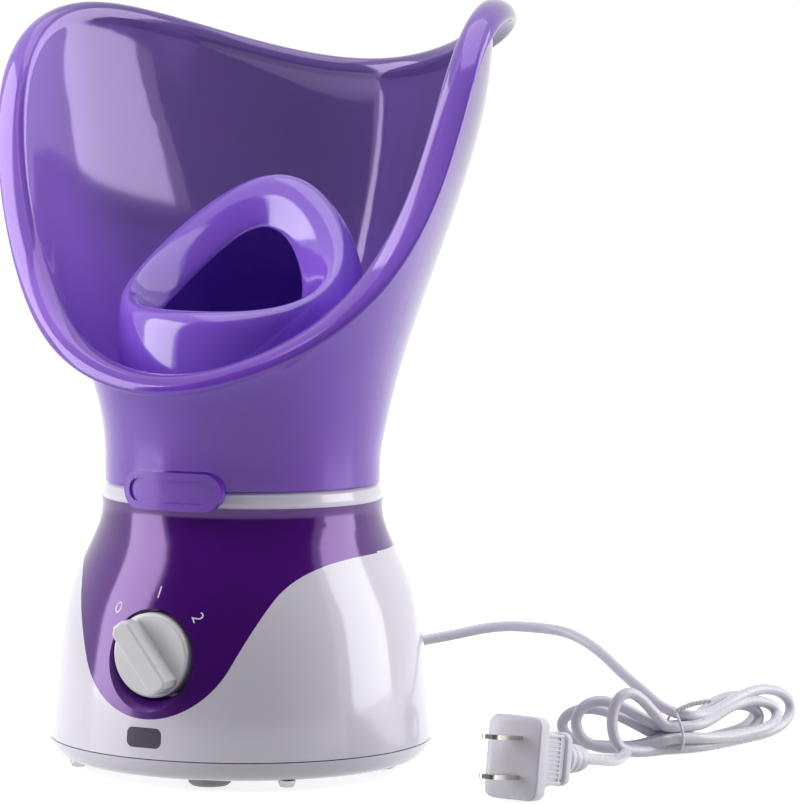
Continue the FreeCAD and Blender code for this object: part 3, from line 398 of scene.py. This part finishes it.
cordSize = {"radius": 1.95, "tie": (121.5, 91.5), "tieHeading": 50, "length": 0.93,
            "lead": [(0, 83.9, 27), (0, 97, 27), (6.5, 110, 28.6), (19, 119, 31), (36, 124.5, 35.5),
                     (51, 125, 36), (67, 122.5, 35.5), (82, 115.5, 30.5), (95, 107, 24),
                     (107, 99, 19.5), (116, 93, 15.5)],
            "tail": [(114.2, 84.2, 2.1), (111.4, 79.4, 2.0), (111.2, 72.5, 2.1), (114, 63.5, 2.1),
                     (116.2, 54, 2.6), (117.4, 44.5, 3.9), (117.8, 34.5, 5.8), (117.3, 24.85, 7.3)],
            "grip": 4}
# where each pass of the cord crosses the tie: side (towards the back) and height
passes = {"lead": (0, 13.1), "frontBottom": (-2, 2.2), "frontHigh": (-2.2, 9.7),
          "frontLow": (-4.1, 6.0), "backHigh": (2.0, 9.6), "middle": (0, 6.0), "backLow": (4.1, 6.1),
          "tail": (2, 2.2)}
# each fold, from pass to pass: heading in degrees, reach, lowest and highest centre, side shift,
# lean of the top towards the back, and whether the cord goes up round it
folds = [
    ("lead", "frontBottom", 71, 61, 2.1, 17.6, 0.5, 3, False),
    ("frontBottom", "frontHigh", 240, 26, 2.0, 22.4, 0, 0, True),
    ("frontHigh", "frontLow", 73, 51, 4.6, 14.4, -3.5, 6, False),
    ("frontLow", "backHigh", 217, 34, 2.4, 18.5, 0, 2, True),
    ("backHigh", "middle", 69, 47, 2.6, 12.8, 4.8, 3, False),
    ("middle", "backLow", 200, 38, 2.2, 14.5, 0, 3, True),
    ("backLow", "tail", 76, 56, 2.1, 14.6, 7.0, 2, False),
]
# how far out and how high each control point of a fold is, from its lower strand round to its
# upper one, as shares of the fold's reach and height
foldShape = [(0.20, 0.0), (0.40, -0.02), (0.60, 0.0), (0.80, 0.03), (0.95, 0.16), (1.03, 0.42),
             (1.03, 0.70), (0.93, 0.96), (0.76, 1.04), (0.57, 0.92), (0.38, 0.74), (0.20, 0.58)]


def headingOf(degrees):
    # the level direction of a heading, and the one a quarter turn to its left
    turn = math.radians(degrees)
    return Vector((math.cos(turn), math.sin(turn), 0)), Vector((-math.sin(turn), math.cos(turn), 0))


def tieSpot(side, height, along=0.0):
    # a spot at the tie, counted sideways, up and along the hank
    out, back = headingOf(cordSize["tieHeading"])
    return Vector((*cordSize["tie"], height)) + out * along + back * side


def foldPoints(start, end, heading, reach, low, high, shift, lean, upward):
    # upward folds leave along their lower strand; the others leave along their upper one
    out, back = headingOf(heading)
    if heading > 180:
        back = -back
    shape = foldShape if upward else foldShape[::-1]
    points = []
    for i, (share, rise) in enumerate(shape):
        ends = passes[start] if i < len(shape) / 2 else passes[end]
        near = max(0.0, 1 - share / 0.5)
        near = near * near * (3 - 2 * near)
        sideways = back * (shift + lean * (rise - 0.5))
        free = Vector((*cordSize["tie"], 0)) + out * reach * share + sideways
        free.z = low + (high - low) * rise
        held = tieSpot(*ends, along=reach * share * (1 if heading < 180 else -1))
        points.append(free.lerp(held, near))
    return points


route = [Vector(p) for p in cordSize["lead"]]
for start, end, heading, reach, low, high, shift, lean, upward in folds:
    away = 1 if heading < 180 else -1
    route += [tieSpot(*passes[start], along=cordSize["grip"] * away)]
    route += foldPoints(start, end, heading, reach, low, high, shift, lean, upward)
    route += [tieSpot(*passes[end], along=cordSize["grip"] * away)]
route += [tieSpot(*passes["tail"], along=-cordSize["grip"])]
route += [Vector(p) for p in cordSize["tail"]]
powerCord = wireCurve("powerLead", [p * mm for p in route], cordSize["radius"] * mm, sides=6, steps=5)
line = lineOf(powerCord)
cordLength = sum((b - a).length for a, b in zip(line, line[1:]))
print("cord made, length", round(cordLength, 4))
paint(powerCord, "cordWhite")


# the plug is built in its own frame, blades towards -Y, then laid on its edge

plugSize = {"place": (114.0, -23.5, 14.4), "turn": -3.9, "nod": -8.3, "wide": 19.6, "tall": 27.2,
            "face": 6.0}
# the body and the flange behind the face plate: length, middle behind the plate, how much
# narrower and lower than the plate
bodySize = {"long": 18, "behind": 8.2, "narrower": 4, "lower": 6, "taper": (0.82, 1, 0.74)}
flangeSize = {"long": 3.4, "behind": 18.8, "narrower": 4.6, "lower": 9.6}
# the framed grip on each side, with its ribs across
gripSize = {"inset": 2.75, "behind": 7.4, "bar": 1.3, "rail": 1.1, "railLong": 12.4, "apart": 15.2,
            "endTall": 15.6, "endBehind": 1.8, "endApart": 11.4, "endIn": 0.55,
            "ribs": 9, "ribPitch": 1.45, "ribWide": 1.0, "ribLong": 10.2, "ribTall": 0.7, "ribIn": 0.1}
# the ribbed strain relief: steps along it, each with the change of its radius
bootSize = {"start": 20.2, "radius": 6.0, "ribs": 4, "tip": 0.8,
            "steps": ((1.7, 0.985), (0.5, 0.88), (0.2, 0.94), (1.5, 1.0), (0.3, 1.05), (0.5, 1.08))}


def moulded(piece, cornerEdges, radius, segments=4, edgeRadius=0.0):
    pickOnly(piece)
    pickEdges(piece, cornerEdges)
    bpy.ops.mesh.bevel(offset=radius, segments=segments)
    bpy.ops.object.mode_set(mode="OBJECT")
    if edgeRadius:
        softener = piece.modifiers.new("edges", "BEVEL")
        softener.width = edgeRadius
        softener.segments = 3
        softener.angle_limit = math.radians(40)
        bpy.ops.object.modifier_apply(modifier="edges")
    return piece


def tapered(piece, factor, test):
    pickOnly(piece)
    pickFaces(piece, test)
    bpy.ops.transform.resize(value=factor)
    bpy.ops.object.mode_set(mode="OBJECT")


def alongY(middle, direction):
    return abs(direction.y) > 0.9


def backBlock(size, wide, face, tall):
    return block(0, face + size["behind"] * mm, 0, wide - size["narrower"] * mm, size["long"] * mm,
                 tall - size["lower"] * mm)


def plugMoulding():
    wide, tall, face = plugSize["wide"] * mm, plugSize["tall"] * mm, plugSize["face"] * mm
    rim = block(0, face / 2, 0, wide, face, tall)
    moulded(rim, alongY, 3.4 * mm, 5, 0.7 * mm)
    body = backBlock(bodySize, wide, face, tall)
    tapered(body, bodySize["taper"], lambda c, n: n.y > 0.9)
    moulded(body, alongY, 2.6 * mm, 4, 0.5 * mm)
    flange = backBlock(flangeSize, wide, face, tall)
    moulded(flange, alongY, 2.8 * mm, 4, 0.7 * mm)
    parts = [rim, body, flange]
    grip = {key: value if key == "ribs" else value * mm for key, value in gripSize.items()}
    for side in (-1, 1):
        at = side * (wide / 2 - grip["inset"])
        frameTop = block(at, face + grip["behind"], grip["apart"] / 2,
                         grip["bar"], grip["railLong"], grip["rail"])
        moulded(frameTop, alongY, 0.4 * mm, 2)
        parts.append(frameTop)
        parts.append(copied(frameTop, (0, 0, -grip["apart"])))
        frameEnd = block(at, face + grip["endBehind"], 0, grip["bar"], grip["rail"], grip["endTall"])
        moulded(frameEnd, lambda m, d: abs(d.z) > 0.9, 0.4 * mm, 2)
        parts.append(frameEnd)
        parts.append(copied(frameEnd, (-side * grip["endIn"], grip["endApart"], 0)))
        rib = block(at - side * grip["ribIn"], face + grip["behind"], 0,
                    grip["ribWide"], grip["ribLong"], grip["ribTall"])
        moulded(rib, alongY, 0.28 * mm, 2)
        middle = (grip["ribs"] - 1) / 2
        for i in range(grip["ribs"]):
            if i != middle:
                parts.append(copied(rib, (0, 0, (i - middle) * grip["ribPitch"])))
        parts.append(rib)
    return parts


def plugBoot():
    # a cone whose rings are pushed in and out
    start = (plugSize["face"] + bootSize["start"]) * mm
    dropSelection()
    bpy.ops.mesh.primitive_cylinder_add(vertices=36, radius=bootSize["radius"] * mm, depth=1 * mm,
                                        end_fill_type="NGON", location=(0, start + 0.5 * mm, 0),
                                        rotation=(math.radians(90), 0, 0))
    boot = bpy.context.object
    bpy.ops.object.transform_apply(location=True, rotation=True, scale=True)
    pickFaces(boot, lambda c, n: n.y > 0.9)
    for i in range(bootSize["ribs"]):
        for step, scale in bootSize["steps"]:
            bpy.ops.mesh.extrude_region_move(TRANSFORM_OT_translate={"value": (0, step * mm, 0)})
            bpy.ops.transform.resize(value=(scale, 1, scale))
    bpy.ops.transform.resize(value=(bootSize["tip"], 1, bootSize["tip"]))
    bpy.ops.object.mode_set(mode="OBJECT")
    return boot


plug = joined("plugMoulding", plugMoulding() + [plugBoot()])
plug.matrix_world = (Matrix.Translation(Vector(plugSize["place"]) * mm)
                     @ Matrix.Rotation(math.radians(plugSize["turn"]), 4, "Z")
                     @ Matrix.Rotation(math.radians(plugSize["nod"]), 4, "X"))
settle(plug, 40)
paint(plug, "cordWhite")
print("plug made")


# the wire tie goes round the hank, its ends twisted

tieSize = {"wire": 0.5, "half": (6.9, 7.2), "middle": 7.6, "start": 108, "spots": 15, "span": 0.9,
           "sway": 0.6, "twists": 5, "apart": 1.02,
           "tail": [(121.5, 91.5, 14.6), (124.5, 93.4, 16.6), (128.2, 95.6, 18.0), (132.2, 98.6, 18.6)]}


def tieRing():
    half, middle, spots = tieSize["half"], tieSize["middle"], tieSize["spots"]
    points = []
    for i in range(spots):
        a = math.radians(tieSize["start"] + i * 360 / (spots - 1) * tieSize["span"])
        points.append(tieSpot(half[0] * math.cos(a), middle + half[1] * math.sin(a),
                              along=tieSize["sway"] * math.sin(a * 2)) * mm)
    return wireCurve("tieRing", points, tieSize["wire"] * mm, sides=3, steps=5)


def tieTwist():
    guide = wireCurve("tieGuide", [Vector(p) * mm for p in tieSize["tail"]], 0.0001, steps=24)
    points = lineOf(guide)
    bpy.data.objects.remove(guide)
    strands = []
    offset = tieSize["wire"] * tieSize["apart"] * mm
    for phase in (0, math.pi):
        path = []
        for i, spot in enumerate(points):
            ahead = (points[min(i + 1, len(points) - 1)] - points[max(i - 1, 0)]).normalized()
            side = ahead.cross(Vector((0, 0, 1))).normalized()
            up = side.cross(ahead)
            a = phase + 2 * math.pi * tieSize["twists"] * i / (len(points) - 1)
            path.append(spot + (side * math.cos(a) + up * math.sin(a)) * offset)
        strands.append(wireCurve("tieStrand", path, tieSize["wire"] * mm, sides=3, steps=2))
    return strands


tieCurves = [tieRing()] + tieTwist()
for curve in tieCurves:
    pickOnly(curve)
    bpy.ops.object.convert(target="MESH")
twistTie = joined("wireTie", tieCurves)
settle(twistTie, 60)
paint(twistTie, "tieWhite")
print("tie made")


# numbers printed by the dial

# each mark has its angle round the dial from the top, and its own turn
dialPrint = {"centre": (0, 43.5), "ring": 20.4, "size": 5.6, "thick": 0.05, "thin": -0.04,
             "ahead": -75, "marks": [("0", -45, 22), ("1", 3, 8), ("2", 50, 62)]}


def dialNumber(word, angle, lean):
    # the number starts flat in front of the cover and is laid onto it
    turn = math.radians(angle)
    dropSelection()
    bpy.ops.object.text_add(location=(0, 0, 0))
    text = bpy.context.object
    text.data.body = word
    text.data.size = dialPrint["size"] * mm
    text.data.align_x = "CENTER"
    text.data.align_y = "CENTER"
    text.data.offset = dialPrint["thin"] * mm
    text.data.resolution_u = 6
    bpy.ops.object.convert(target="MESH")
    mark = named("dialNumber" + word)
    x = (dialPrint["centre"][0] + dialPrint["ring"] * math.sin(turn)) * mm
    z = (dialPrint["centre"][1] + dialPrint["ring"] * math.cos(turn)) * mm
    mark.matrix_world = (Matrix.Translation((x, dialPrint["ahead"] * mm, z))
                         @ Matrix.Rotation(math.radians(lean), 4, "Y")
                         @ Matrix.Rotation(math.radians(90), 4, "X"))
    bpy.ops.object.transform_apply(location=True, rotation=True, scale=True)
    wrap = mark.modifiers.new("wrap", "SHRINKWRAP")
    wrap.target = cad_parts["upper_cover"]
    wrap.wrap_method = "PROJECT"
    wrap.use_project_y = True
    wrap.use_positive_direction = True
    wrap.offset = dialPrint["thick"] * mm
    bpy.ops.object.modifier_apply(modifier="wrap")
    paint(mark, "printWhite")
    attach(mark, "root")
    return mark


for word, angle, lean in dialPrint["marks"]:
    dialNumber(word, angle, lean)
print("numbers made")


# what each piece rides on and stands for

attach(powerCord, "root")
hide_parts("power_cord", "cord_hank", "cord_tail")
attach(plug, "root")
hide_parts("plug_body")
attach(twistTie, "root")
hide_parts("twist_tie")


# the studio

studio = {"world": 0.42, "backdrop": 1.05, "backdropReach": 8.8, "card": 0.05, "cardSpan": 62,
          "cardReach": 2.2, "cardTall": 3.0, "cardMiddle": 1.4, "floor": (0.55, 0.55, 0.56),
          "floorPatch": 0.985, "floorGlow": 0.72, "floorReach": 9, "top": 12, "left": 15, "right": 13}
# the softboxes at the sides: angle from the camera, reach and height, then width and height
sideBox = {"left": -84, "right": 86, "reach": 1.3, "height": 0.45, "wide": 0.8, "tall": 1.4}


def softLight(name, place, aim, wide, tall, power):
    data = bpy.data.lights.new(name, "AREA")
    data.shape = "RECTANGLE"
    data.size = wide
    data.size_y = tall
    data.energy = power
    lamp = bpy.data.objects.new(name, data)
    bpy.context.scene.collection.objects.link(lamp)
    lamp.location = place
    lamp.rotation_euler = (Vector(aim) - Vector(place)).to_track_quat("-Z", "Y").to_euler()
    return lamp


def aroundCamera(angle, reach, height):
    # a spot seen from the object, counted from the camera towards the right of the picture
    a = math.radians(cameraPlace["azimuth"] + angle)
    return (math.sin(a) * reach, -math.cos(a) * reach, height)


softLight("topSoftbox", (0.1, -0.2, 1.7), (0.02, 0.02, 0.1), 1.6, 1.6, studio["top"])
for side in ("left", "right"):
    softLight(side + "Softbox", aroundCamera(sideBox[side], sideBox["reach"], sideBox["height"]),
              (0, 0, 0.15), sideBox["wide"], sideBox["tall"], studio[side])


def glowing(name, strength):
    finish = Finish(name)
    shader = finish.tree.nodes.new("ShaderNodeEmission")
    shader.inputs["Strength"].default_value = strength
    finish.tree.links.new(shader.outputs[0], finish.tree.nodes["Material Output"].inputs[0])
    return finish.material


# a dim room behind the camera: a curved card that only shows in reflections
dropSelection()
bpy.ops.mesh.primitive_cylinder_add(vertices=96, radius=studio["cardReach"], depth=studio["cardTall"],
                                    end_fill_type="NOTHING", location=(0, 0, studio["cardMiddle"]))
card = named("dimRoom")
towardsCamera = Vector(aroundCamera(0, 1, 0)[:2])
cardEdge = math.cos(math.radians(studio["cardSpan"]))
pickFaces(card, lambda c, n: Vector((c.x, c.y)).normalized().dot(towardsCamera) < cardEdge)
bpy.ops.mesh.delete(type="FACE")
bpy.ops.object.mode_set(mode="OBJECT")
bpy.ops.object.transform_apply(location=True, rotation=True, scale=True)
card.data.materials.append(glowing("dimRoom", studio["card"]))
card.visible_camera = False

# a white sweep all round, which lights nothing but shows behind the object and in its gloss
dropSelection()
bpy.ops.mesh.primitive_uv_sphere_add(segments=64, ring_count=32, radius=studio["backdropReach"],
                                     location=(0, 0, 0))
sweep = named("whiteSweep")
bpy.ops.object.shade_smooth()
sweep.data.materials.append(glowing("whiteSweep", studio["backdrop"]))
sweep.visible_diffuse = False
sweep.visible_shadow = False

dropSelection()
bpy.ops.mesh.primitive_circle_add(vertices=128, radius=studio["floorReach"], fill_type="NGON",
                                  location=(0, 0, 0))
floor = named("studioFloor")
floorFinish = Finish("studioFloor")
cloud = floorFinish.noise(3, 2)
patch = tuple(c * studio["floorPatch"] for c in studio["floor"])
floorFinish.shade(Base_Color=floorFinish.blend(cloud, studio["floor"], patch),
                  Roughness=0.55 + (cloud - 0.5) * 0.05)
floorFinish.shader.inputs["Emission Color"].default_value = (1, 1, 1, 1)
floorFinish.shader.inputs["Emission Strength"].default_value = studio["floorGlow"]
floor.data.materials.append(floorFinish.material)
floor.visible_diffuse = False

world = bpy.data.worlds.new("studio")
world.use_nodes = True
world.node_tree.nodes["Background"].inputs[0].default_value = (1, 1, 1, 1)
world.node_tree.nodes["Background"].inputs[1].default_value = studio["world"]
bpy.context.scene.world = world
bpy.context.scene.view_settings.view_transform = "Standard"
print("studio lit")

dropSelection()
bpy.context.view_layer.update()
